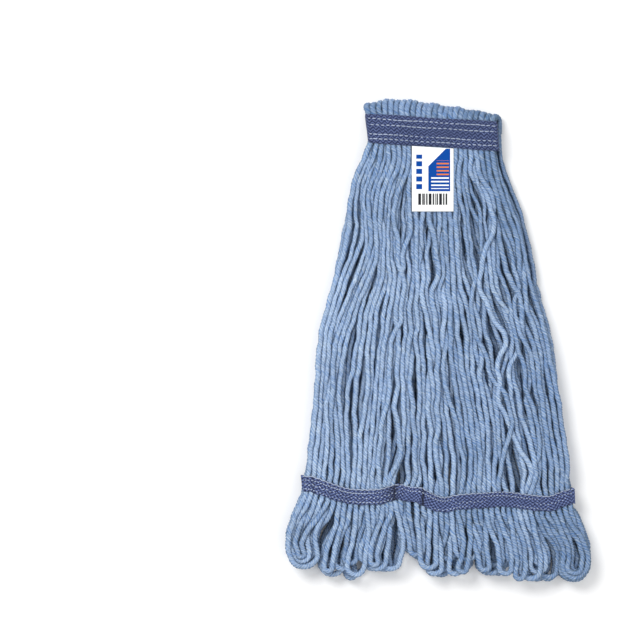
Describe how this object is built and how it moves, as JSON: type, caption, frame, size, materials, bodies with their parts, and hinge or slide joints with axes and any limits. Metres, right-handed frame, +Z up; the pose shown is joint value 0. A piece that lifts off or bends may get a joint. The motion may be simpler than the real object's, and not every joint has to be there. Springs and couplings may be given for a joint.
{
  "type": "string mop head",
  "caption": "Looped-end wet mop head of plied yarn, folded at a webbing headband, with sewn tail bands that keep its loops spread, lying flat.",
  "frame": {"origin": "under the middle of the head's box, on the surface that it lies on", "axes": "+Z up from that surface, +Y towards the fold of the yarn, +X to the right seen from above with the fold at the top"},
  "size_m": [0.3086, 0.4889, 0.0269],
  "materials": {
    "yarn": "matte",
    "webbing": "matte",
    "thread": "matte",
    "label_card": "matte"
  },
  "bodies": {
    "rear_half": {"rear_hank_1": "yarn", "rear_hank_2": "yarn", "rear_hank_3": "yarn", "rear_hank_4": "yarn", "rear_hank_5": "yarn", "rear_hank_6": "yarn", "rear_hank_7": "yarn", "rear_hank_8": "yarn", "fold_hank_1": "yarn", "fold_hank_2": "yarn", "fold_hank_3": "yarn", "fold_hank_4": "yarn", "fold_hank_5": "yarn", "fold_hank_6": "yarn", "fold_hank_7": "yarn", "fold_hank_8": "yarn", "rear_tail_band_outer": "webbing", "rear_tail_band_inner": "webbing", "rear_tail_seam_upper": "thread", "rear_tail_seam_lower": "thread"},
    "front_half": {"front_hank_1": "yarn", "front_hank_2": "yarn", "front_hank_3": "yarn", "front_hank_4": "yarn", "front_hank_5": "yarn", "front_hank_6": "yarn", "front_hank_7": "yarn", "front_hank_8": "yarn", "headband": "webbing", "headband_stitch_row_1": "thread", "headband_stitch_row_2": "thread", "headband_stitch_row_3": "thread", "headband_stitch_row_4": "thread", "front_tail_band_outer": "webbing", "front_tail_band_inner": "webbing", "front_tail_seam_upper": "thread", "front_tail_seam_lower": "thread"},
    "label": {"label": "label_card"}
  },
  "joints": [
    {"name": "front_half_swing", "type": "hinge", "parent": "rear_half", "child": "front_half", "pos_m": [-0.0067, 0.226, 0.013], "axis": [-0.9962, 0.0872, 0], "range_deg": [0, 180], "deforming": ["fold_hank_1", "fold_hank_2", "fold_hank_3", "fold_hank_4", "fold_hank_5", "fold_hank_6", "fold_hank_7", "fold_hank_8"]},
    {"name": "label_flap", "type": "hinge", "parent": "front_half", "child": "label", "pos_m": [-0.0067, 0.19422, 0.0269], "axis": [-0.9981, 0.061, 0], "range_deg": [0, 150]}
  ]
}
